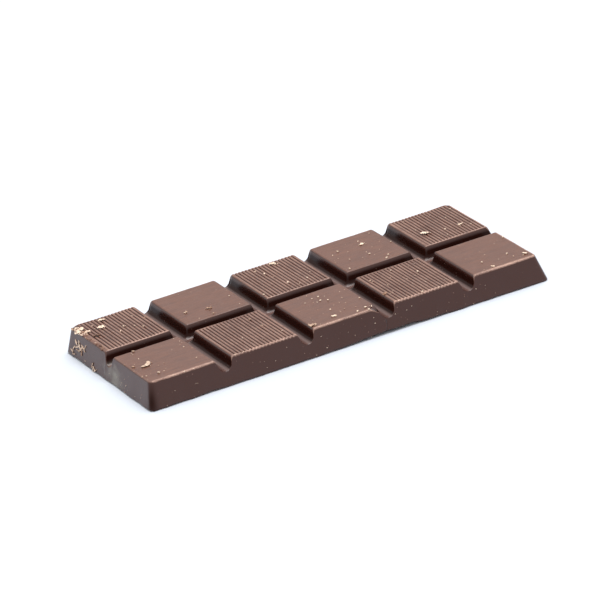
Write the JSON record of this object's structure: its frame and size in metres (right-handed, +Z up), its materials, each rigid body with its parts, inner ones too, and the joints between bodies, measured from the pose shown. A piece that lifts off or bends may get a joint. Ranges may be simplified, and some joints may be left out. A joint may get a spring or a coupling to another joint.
{
  "type": "chocolate bar",
  "caption": "Dark moulded chocolate bar lying flat, with plain and ribbed squares in turn like a chessboard, round-bottomed grooves to break it along, and a worn lip at one groove.",
  "frame": {"origin": "the middle of the bar's flat underside, which is the middle of the base of its bounding box", "axes": "+X along the bar's length, towards its right end; +Y across its width, towards its back long side; +Z up, out of the moulded face"},
  "size_m": [0.1494, 0.0646, 0.0093],
  "materials": {
    "chocolate": "dark chocolate with a dull sheen: brushed, slightly paler tops, and fine dust and crumbs of itself on them"
  },
  "bodies": {
    "root": {"chocolate_bar": "chocolate"}
  },
  "joints": []
}
